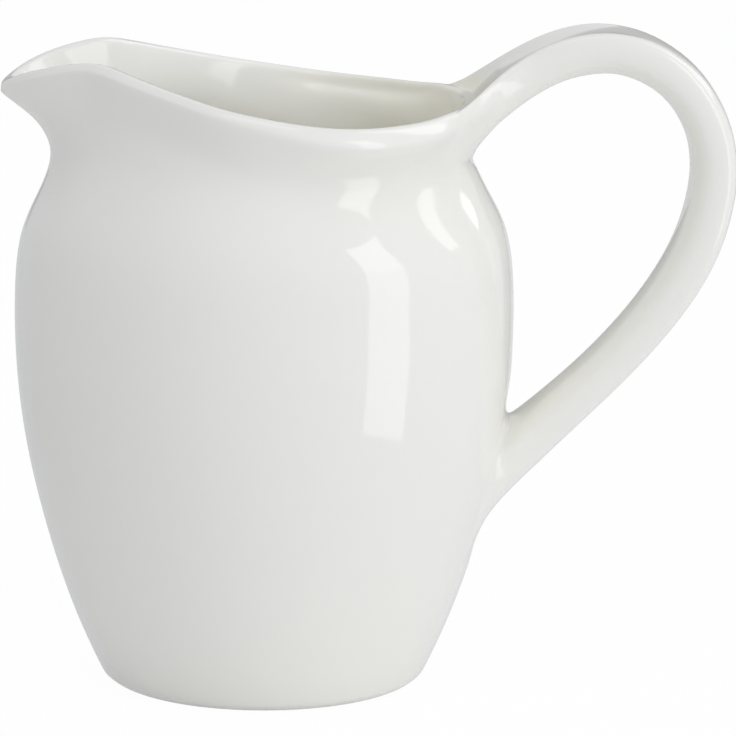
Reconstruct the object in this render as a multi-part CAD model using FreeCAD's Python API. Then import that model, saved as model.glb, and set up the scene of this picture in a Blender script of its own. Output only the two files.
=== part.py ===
# A porcelain milk jug: a round-bellied body with a pressed pouring lip and a strap handle,
# all one piece. Millimetres. The origin is the middle of the foot on the table, +Z is up,
# the spout points along -X and the handle along +X.
import FreeCAD, Part
import math
import os

from FreeCAD import Vector

# Wall, foot and floor
wall = 3.2
floor_thickness = 4.4
foot_radius = 24.4
foot_ring_width = 3.0
foot_recess_depth = 1.2
heel_radius = 2.6
heel_turns = (12.0, 35.0, 55.0)
inner_corner_height = 13.0
inner_floor_radius = 15.0

# Body outline: outer radius and height at each place where its curve changes
heel_top_radius = 26.5
heel_top_height = 1.9
ankle_radius = 28.35
ankle_height = 6.0
lower_radius = 34.8
lower_height = 24.0
flank_radius = 38.6
flank_height = 40.0
belly_radius = 40.0
belly_height = 59.0
shoulder_radius = 38.2
shoulder_drop = 12.5
neck_height = 87.0
neck_radius = 33.1
neck_press = 1.5
neck_swell_at_spout = 1.3
lip_straight = 3.5

# Handle strap
strap_width = 16.0
strap_thickness = 7.4
strap_thickness_at_back = 7.2
strap_squareness = 2.7
crown_x = 53.5
crown_rise = 19.1
back_x = 75.2
back_drop = 4.0
foot_top = 39.4
foot_bottom = 22.8
root_drop = 2.5
root_flare = 5.5
foot_flare = 3.0
channel_depth = 2.1
channel_share_of_width = 0.8

# Strap seen from the side: from the root to the crown, the back and the foot, how far the
# outline's tangents reach along X and Z at the start and at the end of each stretch
outer_reaches = [
    ((6.5, 5.2), (-8.8, 0.0)),
    ((11.8, 0.0), (0.0, 12.3)),
    ((0.0, -24.5), (18.5, 21.5)),
]
inner_reaches = [
    ((4.9, 4.0), (-9.5, 0.0)),
    ((8.0, 0.0), (0.0, 8.8)),
    ((0.0, -17.5), (12.5, 8.8)),
]

# How finely the curved surfaces are laid out
ring_points = 36
wall_rings = 15
lip_rings = 5
corner_rings = 3
strap_points = 28
strap_steps = 5
settling_sweeps = 30
halvings = 40

# Rim: degrees round from the handle; how far the rounded lip's centre stands outside the neck's
# radius and above the neck's height; and the wall's outward lean there in degrees
rim = [
    (0, -0.7, 6.2, 12),
    (25, 0.1, 5.9, 16),
    (45, 0.9, 5.2, 15),
    (70, 2.1, 5.5, 13),
    (95, -0.4, 7.3, 6),
    (122, -3.3, 10.5, -3),
    (149, -1.7, 13.0, 6),
    (164, 3.8, 11.1, 32),
    (180, 7.3, 8.5, 54),
]

# Neck: degrees round from the handle and how far it stands outside the neck's radius
neck = [
    (0, 0.0),
    (70, 0.3),
    (125, -neck_press),
    (155, 0.9 - neck_press),
    (180, neck_swell_at_spout),
]

# Strap: place (0 root, 1 crown, 2 back, 3 foot), added half width and depth of the channel on top
strap = [
    (0.0, root_flare, 0.4),
    (0.25, 2.8, channel_depth),
    (0.5, 0.6, channel_depth),
    (0.75, 0.0, 0.7 * channel_depth),
    (1.0, 0.0, 0.4 * channel_depth),
    (1.5, 0.0, 0.15 * channel_depth),
    (2.0, 0.0, 0.0),
    (2.75, 0.2, 0.0),
    (3.0, foot_flare, 0.0),
]


def along(stations, place, column):
    """Smooth value of one column at a place along the stations, level at both ends."""
    places = [row[0] for row in stations]
    values = [row[column] for row in stations]
    k = 0
    while k < len(places) - 2 and place > places[k + 1]:
        k += 1
    slopes = []
    for j in (k, k + 1):
        if j == 0 or j == len(places) - 1:
            slopes.append(0.0)
        else:
            slopes.append((values[j + 1] - values[j - 1]) / (places[j + 1] - places[j - 1]))
    span = places[k + 1] - places[k]
    t = (place - places[k]) / span
    start = (2 * t ** 3 - 3 * t ** 2 + 1) * values[k] + (t ** 3 - 2 * t ** 2 + t) * span * slopes[0]
    end = (3 * t ** 2 - 2 * t ** 3) * values[k + 1] + (t ** 3 - t ** 2) * span * slopes[1]
    return start + end


def outer_curve(angle):
    """The body's outside from the heel up to the lip, in the plane of radius and height."""
    lean = math.radians(along(rim, angle, 3))
    lip = Vector(
        neck_radius + along(rim, angle, 1) + wall / 2 * math.cos(lean),
        neck_height + along(rim, angle, 2) - wall / 2 * math.sin(lean),
        0,
    )
    curve = Part.BSplineCurve()
    curve.interpolate([
        Vector(heel_top_radius, heel_top_height, 0),
        Vector(ankle_radius, ankle_height, 0),
        Vector(lower_radius, lower_height, 0),
        Vector(flank_radius, flank_height, 0),
        Vector(belly_radius, belly_height, 0),
        Vector(shoulder_radius, neck_height - shoulder_drop, 0),
        Vector(neck_radius + along(neck, angle, 1), neck_height, 0),
        lip - Vector(math.sin(lean), math.cos(lean), 0) * lip_straight,
        lip,
    ])
    return curve


def wall_points(angle):
    """Matching points of the wall's outside and inside at one angle, from the heel up to the lip."""
    curve = outer_curve(angle)
    outside = []
    inside = []
    for k in range(wall_rings):
        place = curve.parameterAtDistance(curve.length() * k / (wall_rings - 1), curve.FirstParameter)
        point = curve.value(place)
        up_wall = curve.tangent(place)[0]
        outside.append((point.x, point.y))
        inside.append((point.x - wall * up_wall.y, point.y + wall * up_wall.x))
    return outside, inside


def heel_points():
    """The rounded heel between the foot's flat and the wall."""
    start = math.radians(heel_turns[0])
    points = []
    for turn in heel_turns:
        a = math.radians(turn)
        points.append((
            foot_radius + heel_radius * (math.sin(a) - math.sin(start)),
            heel_radius * (math.cos(start) - math.cos(a)),
        ))
    return points


def lip_points(angle, outer_end, inner_end):
    """The half round of the lip, from the wall's outside over to its inside."""
    middle_radius = (outer_end[0] + inner_end[0]) / 2
    middle_height = (outer_end[1] + inner_end[1]) / 2
    lean = math.radians(along(rim, angle, 3))
    points = []
    for k in range(1, lip_rings + 1):
        turn = lean - math.pi * k / (lip_rings + 1)
        points.append((
            middle_radius + wall / 2 * math.cos(turn),
            middle_height - wall / 2 * math.sin(turn),
        ))
    return points


def corner_points(lowest, next_up):
    """The rounded corner inside, from the wall's lowest inner point down to the floor."""
    slope = (next_up[0] - lowest[0]) / (next_up[1] - lowest[1])
    corner = Part.BezierCurve()
    corner.setPoles([
        Vector(lowest[0], lowest[1], 0),
        Vector(lowest[0] - slope * (lowest[1] - floor_thickness), floor_thickness, 0),
        Vector(inner_floor_radius, floor_thickness, 0),
    ])
    points = []
    for k in range(1, corner_rings + 1):
        point = corner.value(k / corner_rings)
        points.append((point.x, point.y))
    return points


def meridian(angle, corner_ring):
    """Radius and height of the wall's section at one angle: heel, outside, lip, inside, floor."""
    outside, inside = wall_points(angle)
    inside = inside[corner_ring:]
    section = heel_points() + outside
    section += lip_points(angle, outside[-1], inside[-1])
    section += reversed(inside)
    section += corner_points(inside[0], inside[1])
    return section


def ring_poles(points):
    """Control points of the closed uniform cubic curve that passes through the points."""
    poles = list(points)
    for sweep in range(settling_sweeps):
        for k in range(len(points)):
            beside = poles[k - 1] + poles[(k + 1) % len(points)]
            poles[k] = (points[k] * 6 - beside) * 0.25
    return poles


def skinned(rings):
    """The solid inside closed rings of equally many points, with its two ends capped flat."""
    places = [0.0]
    for lower, upper in zip(rings, rings[1:]):
        steps = [a.distanceToPoint(b) for a, b in zip(lower, upper)]
        places.append(places[-1] + sum(steps) / len(steps))
    columns = []
    for column in zip(*[ring_poles(ring) for ring in rings]):
        curve = Part.BSplineCurve()
        curve.interpolate(Points=list(column), Parameters=places)
        columns.append(curve)
    surface = Part.BSplineSurface()
    surface.buildFromPolesMultsKnots(
        [curve.getPoles() for curve in columns],
        [1] * (len(columns) + 1),
        columns[0].getMultiplicities(),
        [float(k) for k in range(len(columns) + 1)],
        columns[0].getKnots(),
        True,
        False,
        3,
        3,
    )
    face = surface.toShape()
    ends = [Part.Face(Part.Wire([edge])) for edge in face.Edges if edge.isClosed()]
    shell = Part.Shell([face] + ends)
    shell.sewShape()
    return Part.Solid(shell)


def body():
    """The bowl: rings at the same place on every meridian, from the foot to the floor."""
    inside = wall_points(0)[1]
    corner_ring = [height > inner_corner_height for radius, height in inside].index(True)
    turns = [360.0 * k / ring_points for k in range(ring_points)]
    sections = [meridian(180 - abs(180 - turn), corner_ring) for turn in turns]
    rings = []
    for level in zip(*sections):
        ring = []
        for turn, (radius, height) in zip(turns, level):
            a = math.radians(turn)
            ring.append(Vector(radius * math.cos(a), radius * math.sin(a), height))
        rings.append(ring)
    return skinned(rings)


def wall_radius(height):
    """Outer radius of the body at a height below the handle."""
    curve = outer_curve(0)
    low = curve.FirstParameter
    high = curve.LastParameter
    for halving in range(halvings):
        middle = (low + high) / 2
        if curve.value(middle).y < height:
            low = middle
        else:
            high = middle
    return curve.value(low).x


def buried(height, half_width):
    """Distance from the axis at which a flat strap end of this half width stays inside the wall."""
    radius = wall_radius(height)
    sag = half_width ** 2 / (2 * radius)
    return radius - (wall + sag) / 2


def bows(corners, reaches):
    """The strap's outline through its corners as one curve for each stretch."""
    curves = []
    for start, end, reach in zip(corners, corners[1:], reaches):
        (start_x, start_z), (end_x, end_z) = reach
        curve = Part.BezierCurve()
        curve.setPoles([start, start + Vector(start_x, 0, start_z), end + Vector(end_x, 0, end_z), end])
        curves.append(curve)
    return curves


def strap_lines():
    """The strap's outer and inner outlines: root, crown, back and foot."""
    root_x = buried(neck_height, strap_width / 2 + root_flare)
    foot_half = strap_width / 2 + foot_flare
    lip_height = neck_height + rim[0][2]
    crown_top = neck_height + crown_rise
    back_height = neck_height - back_drop
    outer = [
        Vector(root_x, 0, lip_height + wall / 2),
        Vector(crown_x, 0, crown_top),
        Vector(back_x, 0, back_height),
        Vector(buried(foot_bottom, foot_half), 0, foot_bottom),
    ]
    inner = [
        Vector(root_x, 0, neck_height - root_drop),
        Vector(crown_x, 0, crown_top - strap_thickness),
        Vector(back_x - strap_thickness_at_back, 0, back_height),
        Vector(buried(foot_top, foot_half), 0, foot_top),
    ]
    return bows(outer, outer_reaches), bows(inner, inner_reaches)


def strap_section(top, bottom, half_width, channel):
    """A rounded closed outline from the strap's outer point to its inner one, hollowed on top."""
    middle = (top + bottom) * 0.5
    half = (top - bottom) * 0.5
    crest = channel_share_of_width * half_width
    power = 2 / strap_squareness
    ring = []
    for k in range(strap_points):
        turn = 2 * math.pi * (k + 0.5) / strap_points
        across = half_width * math.copysign(abs(math.cos(turn)) ** power, math.cos(turn))
        up = math.copysign(abs(math.sin(turn)) ** power, math.sin(turn))
        if up > 0 and abs(across) < crest:
            up -= channel / half.Length * (1 - (across / crest) ** 2) ** 2
        point = middle + half * up
        ring.append(Vector(point.x, across, point.z))
    return ring


def handle():
    """The strap, from inside the wall under the rim, over the crown and down to the belly."""
    outer_bows, inner_bows = strap_lines()
    rings = []
    for number, (outer, inner) in enumerate(zip(outer_bows, inner_bows)):
        for step in range(strap_steps + 1):
            if step == 0 and number > 0:
                continue
            t = step / strap_steps
            place = number + t
            rings.append(strap_section(
                outer.value(t),
                inner.value(t),
                strap_width / 2 + along(strap, place, 1),
                along(strap, place, 2),
            ))
    return skinned(rings)


def foot_recess():
    """The shallow hollow inside the foot ring."""
    rim_radius = foot_radius - foot_ring_width
    return Part.makeCone(rim_radius, rim_radius - foot_recess_depth, foot_recess_depth)


os.makedirs("parts", exist_ok=True)
jug = body().fuse(handle()).cut(foot_recess())
jug.exportStep("parts/jug.step")
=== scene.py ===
import math

import bmesh
import bpy
from mathutils import Matrix, Vector


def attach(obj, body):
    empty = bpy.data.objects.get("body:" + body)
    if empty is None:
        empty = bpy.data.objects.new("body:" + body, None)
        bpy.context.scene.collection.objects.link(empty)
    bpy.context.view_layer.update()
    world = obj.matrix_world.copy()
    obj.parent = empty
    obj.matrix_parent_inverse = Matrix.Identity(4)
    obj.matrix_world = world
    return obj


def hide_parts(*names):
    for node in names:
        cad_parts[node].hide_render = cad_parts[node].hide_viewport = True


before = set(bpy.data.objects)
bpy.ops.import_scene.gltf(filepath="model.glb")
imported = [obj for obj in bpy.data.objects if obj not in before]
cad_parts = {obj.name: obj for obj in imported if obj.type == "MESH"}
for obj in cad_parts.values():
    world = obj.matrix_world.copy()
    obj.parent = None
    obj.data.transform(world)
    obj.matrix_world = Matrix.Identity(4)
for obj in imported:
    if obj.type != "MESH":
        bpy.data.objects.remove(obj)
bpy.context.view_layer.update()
print("frame loaded")

mm = 0.001      # a millimetre in metres

# The bowl. Lengths in millimetres, angles in degrees round from the handle.
bowl = {
    "segments": 36,
    "outlineSamples": 500,
    # steps in the search for the share that has a given height
    "heightHalvings": 30,
    "wall": 3.2,
    # underside: radius and height, from the middle of the recess out to the heel
    "underside": [(8, 1.2), (15, 1.2), (19.2, 1.2), (20.3, 0.95), (20.9, 0.35), (21.5, 0.0),
                  (22.7, 0.0), (24.0, 0.0), (25.0, 0.22), (25.9, 0.9)],
    # outside: radius and height where the curve changes
    "outside": [(26.55, 1.9), (28.45, 6), (31.65, 14), (34.8, 24), (37.7, 36), (39.45, 48), (39.95, 58),
                (39.75, 66), (38.3, 74)],
    # neck: angle, radius and height of its narrowest place
    "neck": [(0, 32.9, 87), (35, 33.2, 87.8), (70, 33.7, 87.6), (125, 31.7, 87.2), (155, 32.5, 87),
             (180, 34.4, 87)],
    # rim: angle, radius and height of the middle of the rounded lip, outward lean and straight length of the
    # wall under it, thickness of the lip, how much taller than thick its rounding is
    "rim": [(0, 32.6, 93.1, 12, 3.2, 2.4, 1.0), (25, 33.3, 92.4, 15, 2.0, 3.2, 1.2),
            (45, 33.8, 91.0, 14, 0.9, 3.6, 1.45), (70, 34.6, 91.1, 14, 0.8, 3.7, 1.45),
            (95, 32.5, 93.8, 14, 2.0, 3.3, 1.25), (122, 29.9, 97.3, 13, 3.2, 3.2, 1.0),
            (149, 31.2, 99.9, 15, 3.5, 3.2, 1.0), (164, 36.7, 98.2, 32, 3.5, 3.2, 1.0),
            (180, 40.4, 95.6, 54, 3.5, 3.2, 1.0)],
    # turns of the points between the two ends of the lip's half round
    "lipTurns": (45, 90, 135),
    # share of the wall's length from which it grows into the lip's thickness, and over how much
    "lipGrowth": (0.88, 0.12),
    # heights of the rows of faces on the handle's side
    "rows": [1.9, 5.6, 10.2, 15, 19.8, 24.4, 29.2, 34.1, 39.1, 44.2, 49.2, 54.2, 59.2, 64.2, 69, 73.2, 76.6,
             79.8, 82.5, 85.2, 88.5],
    # lowest rows of the holes for the handle's foot and root
    "footRow": 24.4,
    "rootRow": 85.2,
    "insideRows": [88.5, 84.6, 81, 77.2, 73.2, 69, 61, 53, 44.2, 34.1, 24.4, 17.5],
    # how far the columns either side of the handle move round the neck to take in its flared root:
    # angle at the foot of the wall, angle at the neck
    "columnSpread": [(0, 0.0), (10, 14.0), (20, 30.0), (30, 37.5), (40, 45.0), (50, 53.0), (60, 61.5),
                     (70, 70.5), (80, 80.0), (180, 180.0)],
    # row where that starts, levels it takes on the outside and, past the lip, on the inside
    "spreadStart": 69,
    "spreadLevels": 4,
    "gatherLevels": 5,
    "floorHeight": 4.4,
    "floorRadius": 15.0,
    # shares of the way round the corner between the inside wall and the floor
    "cornerSteps": (0.3, 0.6, 1.0),
}

# The strap handle, seen from the side in X and Z, with its section's widths.
strap = {
    "crown": (53.5, 106.1),
    "back": (75.2, 83.0),
    "rootTop": (31.0, 95.5),
    "rootBottom": (31.0, 85.2),
    "footTop": (36.0, 39.4),
    "footBottom": (31.5, 21.9),
    "thicknessAtCrown": 7.6,
    "thicknessAtBack": 7.2,
    "outerReaches": [((6.5, 5.1), (-9.3, 0.0)), ((11.8, 0.0), (0.0, 12.3)), ((0.0, -25.5), (15.0, 20.2))],
    "innerReaches": [((4.9, 4.0), (-9.5, 0.0)), ((8.0, 0.0), (0.0, 8.8)), ((0.0, -17.5), (12.5, 8.8))],
    "halfWidth": 8.0,
    # 2 is a round section, more is squarer; the second is for the outside half
    "squareness": 2.7,
    "outsideSquareness": 3.4,
    # share of the width that the channel takes, and how square its bottom is
    "channelShare": 0.8,
    "channelSquareness": 3.6,
    # distance along X from the axis, added half width, depth of the channel on top
    "root": [(30, 7.5, 1.4), (33, 6.4, 1.9), (36, 3.8, 2.3), (39, 1.9, 2.4), (42, 0.8, 2.3), (46, 0.3, 2.0),
             (50, 0.1, 1.5), (55, 0, 0.9), (62, 0, 0.3), (70, 0, 0)],
    # share of that added width at half the section's height, and its change from there to the top
    "rootFlare": (0.8, 0.2),
    # places along the strap: 0 at the root, 1 at the crown, 2 at the back, 3 at the foot
    "rootEnd": 1.5,
    "footStart": 2,
    # the places between which the strap's lines come out of the wall, and the steps of that search
    "footBuried": 3.0,
    "footClear": 2.6,
    "meetingHalvings": 18,
    # place along the strap, added half width towards the foot
    "foot": [(2.0, 0.0), (2.6, 0.1), (2.85, 1.2), (3.0, 3.2)],
    "rootPlace": 0.36,
    "rootSteps": [0.16, 0.36, 0.58, 0.8],
    "rootReach": (0.6, 0.85),
    "places": [0.36, 0.5, 0.65, 0.81, 1.0, 1.18, 1.36, 1.54, 1.72, 1.88, 2.04, 2.18, 2.32, 2.45,
               2.57, 2.68, 2.78],
    "footFillet": 2.7,
    "footTailFillet": 3.6,
}


def along(stations, place, column):
    # smooth value between stations, level at both ends
    places = [row[0] for row in stations]
    values = [row[column] for row in stations]
    k = 0
    while k < len(places) - 2 and place > places[k + 1]:
        k += 1
    slopes = []
    for j in (k, k + 1):
        inner = 0 < j < len(places) - 1
        slopes.append((values[j + 1] - values[j - 1]) / (places[j + 1] - places[j - 1]) if inner else 0.0)
    span = places[k + 1] - places[k]
    t = min(max((place - places[k]) / span, 0.0), 1.0)
    return ((2 * t ** 3 - 3 * t ** 2 + 1) * values[k] + (t ** 3 - 2 * t ** 2 + t) * span * slopes[0]
            + (3 * t ** 2 - 2 * t ** 3) * values[k + 1] + (t ** 3 - t ** 2) * span * slopes[1])


def splineThrough(points, samples):
    # natural cubic spline through 2D points, as a dense list of (point, direction)
    places = [0.0]
    for a, b in zip(points, points[1:]):
        places.append(places[-1] + (b - a).length)
    n = len(points)
    bends = [Vector((0, 0))] * n
    sweep = [0.0] * n
    for k in range(1, n - 1):
        before, after = places[k] - places[k - 1], places[k + 1] - places[k]
        pull = ((points[k + 1] - points[k]) / after - (points[k] - points[k - 1]) / before) * 6
        middle = 2 * (before + after) - before * sweep[k - 1]
        sweep[k] = after / middle
        bends[k] = (pull - bends[k - 1] * before) / middle
    for k in range(n - 2, 0, -1):
        bends[k] = bends[k] - bends[k + 1] * sweep[k]
    dense = []
    k = 0
    for s in range(samples + 1):
        place = places[-1] * s / samples
        while k < n - 2 and place > places[k + 1]:
            k += 1
        span = places[k + 1] - places[k]
        a, b = (places[k + 1] - place) / span, (place - places[k]) / span
        point = (points[k] * a + points[k + 1] * b
                 + (bends[k] * (a ** 3 - a) + bends[k + 1] * (b ** 3 - b)) * span ** 2 / 6)
        direction = ((points[k + 1] - points[k]) / span
                     + (bends[k + 1] * (3 * b * b - 1) - bends[k] * (3 * a * a - 1)) * span / 6)
        dense.append((point, direction.normalized()))
    return dense


class Wall:
    # The bowl's wall at one angle: outside points by their share of the way from heel to lip.
    def __init__(self, angle):
        lean = math.radians(along(bowl["rim"], angle, 3))
        half = along(bowl["rim"], angle, 5) / 2
        self.lean, self.half, self.tall = lean, half, along(bowl["rim"], angle, 6)
        self.middle = Vector((along(bowl["rim"], angle, 1), along(bowl["rim"], angle, 2)))
        lip = self.lip(0)
        straight = Vector((math.sin(lean), math.cos(lean))) * along(bowl["rim"], angle, 4)
        stations = [Vector(p) for p in bowl["outside"]]
        stations.append(Vector((along(bowl["neck"], angle, 1), along(bowl["neck"], angle, 2))))
        stations.append(lip - straight)
        stations.append(lip)
        self.dense = splineThrough(stations, bowl["outlineSamples"])
        self.lengths = [0.0]
        for before, after in zip(self.dense, self.dense[1:]):
            self.lengths.append(self.lengths[-1] + (after[0] - before[0]).length)

    def at(self, share):
        # point and direction on the outside at this share of its length
        want = share * self.lengths[-1]
        low, high = 0, len(self.lengths) - 1
        while high - low > 1:
            middle = (low + high) // 2
            if self.lengths[middle] < want:
                low = middle
            else:
                high = middle
        t = (want - self.lengths[low]) / (self.lengths[high] - self.lengths[low])
        t = min(max(t, 0.0), 1.0)
        point = self.dense[low][0].lerp(self.dense[high][0], t)
        return point, self.dense[low][1].lerp(self.dense[high][1], t).normalized()

    def shareAtHeight(self, height):
        low, high = 0.0, 1.0
        for halving in range(bowl["heightHalvings"]):
            middle = (low + high) / 2
            if self.at(middle)[0].y < height:
                low = middle
            else:
                high = middle
        return low

    def radiusAtHeight(self, height):
        return self.at(self.shareAtHeight(height))[0].x

    def inside(self, share):
        # the wall grows into the thickness of the lip over its last part
        point, direction = self.at(share)
        start, span = bowl["lipGrowth"]
        grown = min(max((share - start) / span, 0.0), 1.0)
        thickness = bowl["wall"] + (self.half * 2 - bowl["wall"]) * grown * grown * (3 - 2 * grown)
        return point + Vector((-direction.y, direction.x)) * thickness

    def lip(self, turn):
        # point of the lip's half round, 0 at its outer end, 180 at its inner end
        a = self.lean - math.radians(turn)
        return self.middle + Vector((math.cos(a), -math.sin(a) * self.tall)) * self.half


handleWall = Wall(0)
rowShares = [handleWall.shareAtHeight(height) for height in bowl["rows"]] + [1.0]
insideShares = [handleWall.shareAtHeight(height) for height in bowl["insideRows"]]


def sectionAt(wall):
    # radius and height of every level of the bowl at one angle, between the two poles
    section = [Vector(p) for p in bowl["underside"]]
    section += [wall.at(share)[0] for share in rowShares]
    section += [wall.lip(turn) for turn in bowl["lipTurns"]]
    section.append(wall.lip(180))
    inside = [wall.inside(share) for share in insideShares]
    section += inside
    low, above = inside[-1], inside[-2]
    slope = (above.x - low.x) / (above.y - low.y)
    corner = Vector((low.x - slope * (low.y - bowl["floorHeight"]), bowl["floorHeight"]))
    end = Vector((bowl["floorRadius"], bowl["floorHeight"]))
    for t in bowl["cornerSteps"]:
        section.append(low * (1 - t) ** 2 + corner * (2 * t * (1 - t)) + end * t * t)
    section.append(Vector((bowl["floorRadius"] / 2, bowl["floorHeight"])))
    return section


def place(point, angle):
    a = math.radians(angle)
    return Vector((point.x * math.cos(a), point.x * math.sin(a), point.y)) * mm


walls = {}


def wallAt(angle):
    turn = round(180 - abs(180 - angle % 360), 3)
    if turn not in walls:
        walls[turn] = Wall(turn)
    return walls[turn]


print("outlines worked out")

# The bowl's skin: its section spun round the axis, then each level moved to its own height and radius
mesh = bmesh.new()
levelLayer = mesh.verts.layers.int.new("level")
first = sectionAt(handleWall)
rim = []
points = [Vector((0, bowl["underside"][0][1]))] + first + [Vector((0, bowl["floorHeight"]))]
for level, point in enumerate(points):
    vert = mesh.verts.new(place(point, 0))
    vert[levelLayer] = level
    rim.append(vert)
edges = [mesh.edges.new(pair) for pair in zip(rim, rim[1:])]
bmesh.ops.spin(mesh, geom=rim + edges, cent=(0, 0, 0), axis=(0, 0, 1), angle=2 * math.pi,
               steps=bowl["segments"], use_merge=True, use_duplicate=False)
bmesh.ops.remove_doubles(mesh, verts=mesh.verts, dist=1e-6)
bmesh.ops.recalc_face_normals(mesh, faces=mesh.faces)

lastLevel = len(points) - 1
step = 360 / bowl["segments"]
firstRow = 1 + len(bowl["underside"])          # level of the heel's top
lipLevel = firstRow + len(bowl["rows"])        # level of the lip's outer end
lipEnd = lipLevel + len(bowl["lipTurns"]) + 1  # level of the lip's inner end
spreadLevel = firstRow + bowl["rows"].index(bowl["spreadStart"])


def spreadAngle(turn, level):
    # angle of a column at a level: evenly spaced below, drawn apart round the handle's root
    spread = turn
    for (a, wide), (b, wider) in zip(bowl["columnSpread"], bowl["columnSpread"][1:]):
        if a <= turn <= b:
            spread = wide + (wider - wide) * (turn - a) / (b - a)
    rise = (level - spreadLevel) / bowl["spreadLevels"]
    if level >= lipLevel:
        rise = 1 - (level - lipEnd) / bowl["gatherLevels"]
    rise = min(max(rise, 0.0), 1.0)
    return turn + (spread - turn) * rise * rise * (3 - 2 * rise)


grid = {}
sections = {}
for vert in mesh.verts:
    level = vert[levelLayer]
    if level in (0, lastLevel):
        continue
    column = round(math.degrees(math.atan2(vert.co.y, vert.co.x)) / step) % bowl["segments"]
    grid[column, level] = vert
    side = -1 if column > bowl["segments"] / 2 else 1
    turn = spreadAngle(min(column, bowl["segments"] - column) * step, level)
    if turn not in sections:
        sections[turn] = sectionAt(wallAt(turn))
    vert.co = place(sections[turn][level - 1], side * turn)
print("bowl spun:", len(mesh.faces), "faces")


# The strap's outlines and its section
def bows(corners, reaches):
    curves = []
    for start, end, (first, last) in zip(corners, corners[1:], reaches):
        start, end = Vector(start), Vector(end)
        curves.append((start, start + Vector(first), end + Vector(last), end))
    return curves


def bowPoint(curve, t):
    a, b, c, d = curve
    return a * (1 - t) ** 3 + b * (3 * t * (1 - t) ** 2) + c * (3 * t * t * (1 - t)) + d * t ** 3


crownX, crownTop = strap["crown"]
backX, backHeight = strap["back"]
outerBows = bows([strap["rootTop"], strap["crown"], strap["back"], strap["footBottom"]],
                 strap["outerReaches"])
innerBows = bows([strap["rootBottom"], (crownX, crownTop - strap["thicknessAtCrown"]),
                  (backX - strap["thicknessAtBack"], backHeight), strap["footTop"]], strap["innerReaches"])
railCount = 16


def railPoint(rail, where):
    # point of one of the strap's lengthwise lines; 0 on the +Y side, 4 along the outside, 12 along the inside
    n = min(int(where), 2)
    outer, inner = bowPoint(outerBows[n], where - n), bowPoint(innerBows[n], where - n)
    middle, half = (outer + inner) / 2, (outer - inner) / 2
    turn = 2 * math.pi * rail / railCount
    power = 2 / (strap["outsideSquareness"] if 0 < rail < 8 else strap["squareness"])
    sideways = math.copysign(abs(math.cos(turn)) ** power, math.cos(turn))
    up = math.copysign(abs(math.sin(turn)) ** power, math.sin(turn))
    flare = channel = 0.0
    if where < strap["rootEnd"]:
        share, change = strap["rootFlare"]
        flare = along(strap["root"], middle.x, 1) * (share + change * up)
        channel = along(strap["root"], middle.x, 2)
    elif where > strap["footStart"]:
        flare = along(strap["foot"], where, 1)
    if up > 0 and abs(sideways) < strap["channelShare"]:
        toEdge = abs(sideways / strap["channelShare"])
        up -= channel / half.length * (1 - toEdge ** strap["channelSquareness"])
    flat = middle + half * up
    return Vector((flat.x, sideways * (strap["halfWidth"] + flare), flat.y))


def outOfWall(point):
    angle = math.degrees(math.atan2(point.y, point.x))
    return math.hypot(point.x, point.y) - wallAt(abs(angle)).radiusAtHeight(point.z)


def railMeeting(rail, buried, clear, distance):
    # where a line of the strap comes out of the wall, and a place that distance further along it
    low, high = buried, clear
    for halving in range(strap["meetingHalvings"]):
        middle = (low + high) / 2
        if outOfWall(railPoint(rail, middle)) < 0:
            low = middle
        else:
            high = middle
    meeting = railPoint(rail, high)
    near, far = high, clear
    for halving in range(strap["meetingHalvings"]):
        middle = (near + far) / 2
        if (railPoint(rail, middle) - meeting).length < distance:
            near = middle
        else:
            far = middle
    return meeting, railPoint(rail, near)


def spread(meetings, distances):
    # the joint's outline on the wall, opened out by the fillet
    flat = []
    for point in meetings:
        angle = math.atan2(point.y, point.x)
        flat.append(Vector((angle * math.hypot(point.x, point.y), point.z)))
    centre = sum(flat, Vector((0, 0))) / len(flat)
    opened = []
    for point, place, distance in zip(meetings, flat, distances):
        radius = math.hypot(point.x, point.y)
        moved = place + (place - centre).normalized() * distance
        angle = moved.x / radius
        wall = wallAt(abs(math.degrees(angle)))
        opened.append(Vector((wall.radiusAtHeight(moved.y) * math.cos(angle),
                              wall.radiusAtHeight(moved.y) * math.sin(angle), moved.y)))
    return opened


targets = {vert: vert.co.copy() for vert in mesh.verts}
firstFoot = firstRow + bowl["rows"].index(bowl["footRow"])
firstRoot = firstRow + bowl["rows"].index(bowl["rootRow"])


def jointLoop(lowLevel):
    # the hole's 16 corners in the order of the strap's lines, the lowest row first on the outside
    loop = {}
    for number, column in enumerate((2, 1, 0, -1, -2)):
        loop[2 + number] = grid[column % bowl["segments"], lowLevel]
        loop[14 - number] = grid[column % bowl["segments"], lowLevel + 4]
    for number in (1, 2, 3):
        loop[(2 - number) % railCount] = grid[2, lowLevel + number]
        loop[6 + number] = grid[bowl["segments"] - 2, lowLevel + number]
    return [loop[k] for k in range(railCount)]


def patchFaces(lowLevel):
    corners = set()
    for column in (-2, -1, 0, 1, 2):
        for level in range(lowLevel, lowLevel + 5):
            corners.add(grid[column % bowl["segments"], level])
    return [face for face in mesh.faces if all(vert in corners for vert in face.verts)]


footLoop = jointLoop(firstFoot)
rootGrid = jointLoop(firstRoot)
# at the root the strap's outside faces up, so the rows run the other way
rootLoop = [rootGrid[(-k) % railCount] for k in range(railCount)]

footDistances = [strap["footTailFillet"] if 2 <= k <= 6 else strap["footFillet"] for k in range(railCount)]
footMeetings = [railMeeting(k, strap["footBuried"], strap["footClear"], distance)
                for k, distance in enumerate(footDistances)]
for vert, point in zip(footLoop, spread([m[0] for m in footMeetings], footDistances)):
    targets[vert] = point * mm


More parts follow.
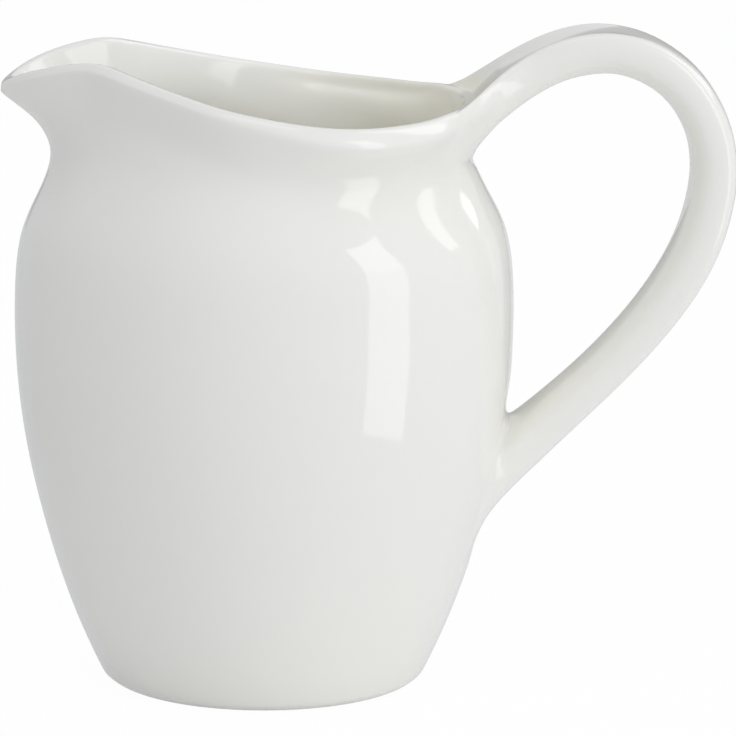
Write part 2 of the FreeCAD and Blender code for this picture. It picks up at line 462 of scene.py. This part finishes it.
# The root's corners on the wall; those on the lip stay where the bowl has them
rootShape = {
    "bottomAngle": 22.0,      # corners under the strap
    "bottomHeight": 84.9,
    "bottomDip": 0.5,         # how much lower the middle of the bottom is than its corners
    "lowerSideAngle": 28.0,   # first corner up the side
    "lowerSideDrop": 1.2,     # how far that corner is below the wall's top row
    "aheadStep": 0.03,        # step along the strap that gives its heading
    "easeShare": 0.4,         # how far a pass moves a corner towards the middle of its neighbours
    "easePasses": 3,
    "bottomPasses": 2,        # passes that also take in the corners under the strap
}
bottomShares = {14: 1.0, 13: 0.52, 12: 0.0, 11: -0.52, 10: -1.0}
easedSides = (14, 15, 0, 1, 7, 8, 9, 10)
easedBottom = (11, 12, 13)
for k, share in bottomShares.items():
    angle = rootShape["bottomAngle"] * share
    height = rootShape["bottomHeight"] - rootShape["bottomDip"] * (1 - share * share)
    targets[rootLoop[k]] = place(Vector((wallAt(angle).radiusAtHeight(height), height)), angle)
for k, side in ((15, 1), (9, -1)):
    angle = rootShape["lowerSideAngle"]
    height = handleWall.at(rowShares[-2])[0].y - rootShape["lowerSideDrop"]
    targets[rootLoop[k]] = place(Vector((wallAt(angle).radiusAtHeight(height), height)), side * angle)


def wallNormal(k):
    # outward direction of the wall or lip where each of the root's lines starts
    point = targets[rootLoop[k]]
    outward = Vector((point.x, point.y, 0)).normalized()
    if 2 <= k <= 6:
        return Vector((0, 0, 1))
    if k in (1, 7):
        return (outward + Vector((0, 0, 1))).normalized()
    return outward


def rootPoint(k, t):
    # the strap's lines leave the wall along its surface and swing out into the strap
    start = targets[rootLoop[k]]
    end = railPoint(k, strap["rootPlace"]) * mm
    heading = (railPoint(k, strap["rootPlace"] + rootShape["aheadStep"]) * mm - end).normalized()
    normal = wallNormal(k)
    leave = end - start
    leave = (leave - normal * leave.dot(normal)).normalized()
    span = (end - start).length
    first, last = strap["rootReach"]
    return (start * (2 * t ** 3 - 3 * t ** 2 + 1) + leave * (span * first * (t ** 3 - 2 * t ** 2 + t))
            + end * (3 * t ** 2 - 2 * t ** 3) + heading * (span * last * (t ** 3 - t ** 2)))


bmesh.ops.delete(mesh, geom=patchFaces(firstFoot) + patchFaces(firstRoot), context="FACES")
targets = {vert: target for vert, target in targets.items() if vert.is_valid}


def extrudeLoop(loop):
    # a new ring of faces on a hole's edge; returns the new corners in the same order
    pairs = list(zip(loop, loop[1:] + loop[:1]))
    edges = [mesh.edges.get(pair) for pair in pairs]
    made = bmesh.ops.extrude_edge_only(mesh, edges=edges)["geom"]
    fresh = {item for item in made if isinstance(item, bmesh.types.BMVert)}
    ring = []
    for vert in loop:
        ring.append(next(edge.other_vert(vert) for edge in vert.link_edges if edge.other_vert(vert) in fresh))
    return ring


ring = rootLoop
rootRings = [rootLoop]
for t in strap["rootSteps"]:
    ring = extrudeLoop(ring)
    for k, vert in enumerate(ring):
        targets[vert] = rootPoint(k, t)
        vert.co = targets[vert]
    rootRings.append(ring)
# ease the sides of the root so that no crease shows where it leaves the wall
for easing in range(rootShape["easePasses"]):
    eased = {}
    for around in rootRings[:3]:
        for k in easedSides + (easedBottom if easing < rootShape["bottomPasses"] else ()):
            near = [targets[edge.other_vert(around[k])] for edge in around[k].link_edges]
            middle = sum(near, Vector()) / len(near)
            eased[around[k]] = targets[around[k]].lerp(middle, rootShape["easeShare"])
    targets.update(eased)
for where in strap["places"]:
    ring = extrudeLoop(ring)
    for k, vert in enumerate(ring):
        targets[vert] = railPoint(k, where) * mm
        vert.co = targets[vert]
ring = extrudeLoop(ring)
for vert, (meeting, outside) in zip(ring, footMeetings):
    targets[vert] = outside * mm
    vert.co = targets[vert]
last = extrudeLoop(ring)
bmesh.ops.weld_verts(mesh, targetmap=dict(zip(last, footLoop)))
bmesh.ops.recalc_face_normals(mesh, faces=mesh.faces)
print("strap joined:", len(mesh.faces), "faces, open edges", sum(e.is_boundary for e in mesh.edges))


# Pull the cage out so that the smoothed skin runs through the wanted points
skin = {
    "sweeps": 14,
    "levels": 2,
}


def smoothedPoint(vert):
    # where the smoothing carries this corner of the cage
    n = len(vert.link_faces)
    total = vert.co * (n * n)
    for edge in vert.link_edges:
        total += edge.other_vert(vert).co * 4
    for face in vert.link_faces:
        if len(face.verts) == 4:
            corners = list(face.verts)
            total += corners[(corners.index(vert) + 2) % 4].co
        else:
            total += sum((corner.co for corner in face.verts), Vector()) / 3
    return total / (n * (n + 5))


for vert, target in targets.items():
    vert.co = target
for sweep in range(skin["sweeps"]):
    moves = [(vert, target - smoothedPoint(vert)) for vert, target in targets.items()]
    for vert, move in moves:
        vert.co += move

data = bpy.data.meshes.new("jugBody")
mesh.to_mesh(data)
mesh.free()
for face in data.polygons:
    face.use_smooth = True
jug = bpy.data.objects.new("jugBody", data)
bpy.context.scene.collection.objects.link(jug)
smooth = jug.modifiers.new("smooth", "SUBSURF")
smooth.levels = smooth.render_levels = skin["levels"]
smooth.boundary_smooth = "ALL"
print("skin smoothed")


# Materials
class Value:
    # a socket with arithmetic: each operator adds a Math node
    def __init__(self, maker, socket):
        self.maker, self.socket = maker, socket

    def math(self, operation, *others):
        return self.maker.node("ShaderNodeMath", {"operation": operation}, dict(enumerate((self,) + others)))

    def __add__(self, other):
        return self.math("ADD", other)

    def __radd__(self, other):
        return self.math("ADD", other)

    def __sub__(self, other):
        return self.math("SUBTRACT", other)

    def __rsub__(self, other):
        return self.math("MULTIPLY", -1.0).math("ADD", other)

    def __mul__(self, other):
        return self.math("MULTIPLY", other)

    def __rmul__(self, other):
        return self.math("MULTIPLY", other)

    def clamp(self):
        return self.maker.node("ShaderNodeClamp", {}, {"Value": self})


class NodeMaker:
    def __init__(self, tree):
        self.tree = tree
        tree.nodes.clear()

    def node(self, kind, settings, values, output=0):
        made = self.tree.nodes.new(kind)
        for name, value in settings.items():
            setattr(made, name, value)
        for name, value in values.items():
            if isinstance(value, Value):
                self.tree.links.new(value.socket, made.inputs[name])
            else:
                made.inputs[name].default_value = value
        return Value(self, made.outputs[output])

    def finish(self, shader, kind="ShaderNodeOutputMaterial"):
        end = self.tree.nodes.new(kind)
        self.tree.links.new(shader.socket, end.inputs["Surface"])


glazeLook = {
    "colour": (0.90, 0.89, 0.825),
    "warmColour": (0.89, 0.876, 0.80),
    # noise above this turns the colour warm, up to this share
    "warmFrom": 0.45,
    "warmShare": 0.8,
    # painted light: a brighter, warmer colour for light bouncing round the inside of the bowl, and a darker,
    # yellower one for painted shade on its handle side
    "paintedBounceColour": (0.985, 0.98, 0.915),
    "paintedShadeColour": (0.895, 0.86, 0.715),
    # where the painted inside light and shade show, each with its steepness, lengths in metres
    "facing": (0.2, 60.0),             # share where the surface faces neither to the axis nor away from it
    "insideRadius": (0.037, 500.0),    # as far out from the axis as this
    "spoutEnd": (0.030, 100.0),        # as far towards the pouring lip as this
    "paintedShadeFrom": (0.006, 27.0),         # and the deep colour as far as this
    "roughness": 0.045,
    "roughnessChange": 0.04,
    "ior": 1.52,
    "rippleStrength": 0.5,
    "rippleHeight": 0.00016,
    "peelShare": 0.06,
    # scale and detail of each noise
    "cloud": (28.0, 3.0),
    "sheen": (90.0, 2.0),
    "ripple": (45.0, 2.0),
    "peel": (420.0, 1.0),
}


def makeGlaze():
    material = bpy.data.materials.new("whiteGlaze")
    material.use_nodes = True
    make = NodeMaker(material.node_tree)
    where = make.node("ShaderNodeTexCoord", {}, {}, "Object")

    def noise(name):
        scale, detail = glazeLook[name]
        return make.node("ShaderNodeTexNoise", {}, {"Vector": where, "Scale": scale, "Detail": detail}, "Fac")

    def blend(share, first, second):
        return make.node("ShaderNodeMix", {"data_type": "RGBA"}, {0: share, 6: first, 7: second}, 2)

    names = ("colour", "warmColour", "paintedBounceColour", "paintedShadeColour")
    plain, warm, inner, paintedShade = ((*glazeLook[name], 1) for name in names)
    outside = blend((noise("cloud") - glazeLook["warmFrom"]).clamp() * glazeLook["warmShare"], plain, warm)
    # painted light: inside the bowl, where the surface faces the axis, the glaze is painted brighter and
    # warmer for light bouncing round the bowl, and darker and yellower by the handle as painted shade
    flat = make.node("ShaderNodeVectorMath", {"operation": "MULTIPLY"}, {0: where, 1: (1, 1, 0)}, 0)
    facing = make.node("ShaderNodeTexCoord", {}, {}, "Normal")
    turned = make.node("ShaderNodeVectorMath", {"operation": "DOT_PRODUCT"}, {0: flat, 1: facing}, "Value")
    away = make.node("ShaderNodeVectorMath", {"operation": "LENGTH"}, {0: flat}, "Value")
    handleWay = make.node("ShaderNodeSeparateXYZ", {}, {"Vector": where}, "X")
    (level, turnRate), (radius, edgeRate) = glazeLook["facing"], glazeLook["insideRadius"]
    (spout, spoutRate), (start, paintedShadeRate) = glazeLook["spoutEnd"], glazeLook["paintedShadeFrom"]
    inside = (level - turned * turnRate).clamp() * ((radius - away) * edgeRate).clamp()
    inside = inside * ((handleWay + spout) * spoutRate).clamp()
    # painted shade: the inside turns darker and yellower towards the handle
    paintedInsideLight = blend(((handleWay + start) * paintedShadeRate).clamp(), inner, paintedShade)
    colour = blend(inside, outside, paintedInsideLight)
    wave = make.node("ShaderNodeBump", {}, {
        "Strength": glazeLook["rippleStrength"],
        "Distance": glazeLook["rippleHeight"],
        "Height": noise("ripple") + noise("peel") * glazeLook["peelShare"],
    }, 0)
    glaze = make.node("ShaderNodeBsdfPrincipled", {}, {
        "Base Color": colour,
        "Roughness": glazeLook["roughness"] + noise("sheen") * glazeLook["roughnessChange"],
        "IOR": glazeLook["ior"],
        "Normal": wave,
    })
    make.finish(glaze)
    return material


jug.data.materials.append(makeGlaze())
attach(jug, "root")
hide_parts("jug")
print("glaze on")

# Floor, air, lights and camera
studio = {
    "floorColour": (0.97, 0.97, 0.97),
    "whiteShare": 0.97,
    "airLeft": (0.565, 0.577, 0.606),
    "airRight": (0.70, 0.711, 0.75),
    "glossShare": 0.12,
    "lampColour": (1.0, 1.01, 1.06),
    "floorHalf": 6,
    # the lamps and cards stand round this point, the cards this far from it
    "middle": (0, 0, 0.06),
    "cardDistance": 2,
}

# Soft lamps: degrees round from the front towards the handle, degrees up, distance, width, height, watts
softLamps = {
    "keyLamp": (62, 4, 1.3, 0.6, 0.9, 3.5),
    "frontLamp": (45, 42, 1.3, 0.6, 0.6, 0.8),
    "topLamp": (15, 70, 1.3, 0.8, 0.8, 2.4),
}

# Cards that only the glaze mirrors: from and to degrees round, from and to degrees up, brightness
cards = {
    "tallCard": (47.5, 68.8, -23, 18, 2.35),
    "upperCard": (47.5, 68.8, 18, 44.2, 2.9),
    "sideCard": (102, 125, 20, 62, 2.4),
    "thinCard": (131, 140, 15, 45, 2.2),
    "edgeCard": (130, 132, -14, 10, 1.0),
    "overCard": (-60, 30, 66, 84, 2.0),
    # darker than the rest, behind the jug
    "darkCard": (160, 200, -4, 13, 0.34),
    "dimCard": (143, 160, -15, 28, 0.42),
}


def towards(around, up):
    a, e = math.radians(around), math.radians(up)
    return Vector((math.sin(a) * math.cos(e), -math.cos(a) * math.cos(e), math.sin(e)))


def makeFloor():
    floorMesh = bpy.data.meshes.new("floor")
    shape = bmesh.new()
    bmesh.ops.create_grid(shape, x_segments=1, y_segments=1, size=studio["floorHalf"])
    shape.to_mesh(floorMesh)
    shape.free()
    floor = bpy.data.objects.new("floor", floorMesh)
    bpy.context.scene.collection.objects.link(floor)
    floor.visible_glossy = False
    material = bpy.data.materials.new("paleFloor")
    material.use_nodes = True
    make = NodeMaker(material.node_tree)
    seen = make.node("ShaderNodeLightPath", {}, {}, "Is Camera Ray")
    plain = make.node("ShaderNodeBsdfDiffuse", {}, {"Color": (*studio["floorColour"], 1)})
    white = make.node("ShaderNodeEmission", {}, {"Color": (1, 1, 1, 1), "Strength": 1.0})
    make.finish(make.node("ShaderNodeMixShader", {}, {0: seen * studio["whiteShare"], 1: plain, 2: white}))
    floor.data.materials.append(material)


def makeWorld():
    world = bpy.data.worlds.new("studio")
    world.use_nodes = True
    bpy.context.scene.world = world
    make = NodeMaker(world.node_tree)
    way = make.node("ShaderNodeTexCoord", {}, {}, "Generated")
    right = make.node("ShaderNodeSeparateXYZ", {}, {"Vector": way}, "X")
    colour = make.node("ShaderNodeMix", {"data_type": "RGBA"}, {
        0: (right * 0.5 + 0.5).clamp(), 6: (*studio["airLeft"], 1), 7: (*studio["airRight"], 1)}, 2)
    air = make.node("ShaderNodeBackground", {}, {"Color": colour, "Strength": 1.0})
    white = make.node("ShaderNodeBackground", {}, {"Color": (1, 1, 1, 1), "Strength": 1.0})
    camera = make.node("ShaderNodeLightPath", {}, {}, "Is Camera Ray")
    mirrored = make.node("ShaderNodeLightPath", {}, {}, "Is Glossy Ray")
    seen = (camera + mirrored * studio["glossShare"]).clamp()
    make.finish(make.node("ShaderNodeMixShader", {}, {0: seen, 1: air, 2: white}), "ShaderNodeOutputWorld")


def addLamp(name, around, up, distance, width, height, power):
    lamp = bpy.data.lights.new(name, "AREA")
    lamp.shape = "RECTANGLE"
    lamp.size, lamp.size_y = width, height
    lamp.energy = power
    holder = bpy.data.objects.new(name, lamp)
    bpy.context.scene.collection.objects.link(holder)
    holder.visible_glossy = False
    lamp.color = studio["lampColour"]
    way = towards(around, up)
    turn = way.to_track_quat("Z", "Y").to_matrix().to_4x4()
    holder.matrix_world = Matrix.Translation(Vector(studio["middle"]) + way * distance) @ turn


def addCard(name, left, right, low, high, brightness):
    # a curved card on a sphere round the jug, mirrored by the glaze but not seen directly
    middle = Vector(studio["middle"])
    shape = bmesh.new()
    bmesh.ops.create_grid(shape, x_segments=6, y_segments=6, size=0.5)
    for vert in shape.verts:
        across, up = vert.co.x + 0.5, vert.co.y + 0.5
        way = towards(left + (right - left) * across, low + (high - low) * up)
        vert.co = middle + way * studio["cardDistance"]
    cardMesh = bpy.data.meshes.new(name)
    shape.to_mesh(cardMesh)
    shape.free()
    card = bpy.data.objects.new(name, cardMesh)
    bpy.context.scene.collection.objects.link(card)
    for kind in ("camera", "diffuse", "shadow", "transmission", "volume_scatter"):
        setattr(card, "visible_" + kind, False)
    material = bpy.data.materials.new(name)
    material.use_nodes = True
    material.cycles.emission_sampling = "NONE"
    make = NodeMaker(material.node_tree)
    make.finish(make.node("ShaderNodeEmission", {}, {"Color": (1, 1, 1, 1), "Strength": brightness}))
    card.data.materials.append(material)


# A low grey board on the left that keeps some light off that side; neither the camera nor the glaze sees it
board = {
    "x": -0.15,
    "from": -0.10,
    "to": 0.30,
    "height": 0.038,
    "grey": 0.18,
}


def addBoard():
    shape = bmesh.new()
    bmesh.ops.create_grid(shape, x_segments=1, y_segments=1, size=0.5)
    for vert in shape.verts:
        across, up = vert.co.x + 0.5, vert.co.y + 0.5
        depth = board["from"] + (board["to"] - board["from"]) * across
        vert.co = Vector((board["x"], depth, board["height"] * up))
    boardMesh = bpy.data.meshes.new("greyBoard")
    shape.to_mesh(boardMesh)
    shape.free()
    holder = bpy.data.objects.new("greyBoard", boardMesh)
    bpy.context.scene.collection.objects.link(holder)
    for kind in ("camera", "glossy", "shadow", "transmission", "volume_scatter"):
        setattr(holder, "visible_" + kind, False)
    material = bpy.data.materials.new("greyBoard")
    material.use_nodes = True
    make = NodeMaker(material.node_tree)
    make.finish(make.node("ShaderNodeBsdfDiffuse", {}, {"Color": (board["grey"],) * 3 + (1,)}))
    holder.data.materials.append(material)


makeFloor()
addBoard()
makeWorld()
for name, values in softLamps.items():
    addLamp(name, *values)
for name, values in cards.items():
    addCard(name, *values)

cameraView = {
    "distance": 0.719,
    "height": 0.194,
    "panRight": 1.33,
    "tiltDown": 11.30,
    "roll": 0.46,
    "lens": 222.9,
    "sensorWidth": 36,
    "nearest": 0.01,
    "farthest": 50,
}


def makeCamera():
    pan, tilt, roll = (math.radians(cameraView[k]) for k in ("panRight", "tiltDown", "roll"))
    forward = Vector((math.sin(pan) * math.cos(tilt), math.cos(pan) * math.cos(tilt), -math.sin(tilt)))
    level = Vector((math.cos(pan), -math.sin(pan), 0))
    above = level.cross(forward)
    right = level * math.cos(roll) + above * math.sin(roll)
    above = above * math.cos(roll) - level * math.sin(roll)
    camera = bpy.data.cameras.new("camera")
    camera.lens = cameraView["lens"]
    camera.sensor_width = cameraView["sensorWidth"]
    camera.clip_start, camera.clip_end = cameraView["nearest"], cameraView["farthest"]
    holder = bpy.data.objects.new("camera", camera)
    bpy.context.scene.collection.objects.link(holder)
    turn = Matrix((right, above, -forward)).transposed().to_4x4()
    holder.matrix_world = Matrix.Translation((0, -cameraView["distance"], cameraView["height"])) @ turn
    bpy.context.scene.camera = holder


makeCamera()
bpy.context.scene.view_settings.view_transform = "Standard"
print("studio set")
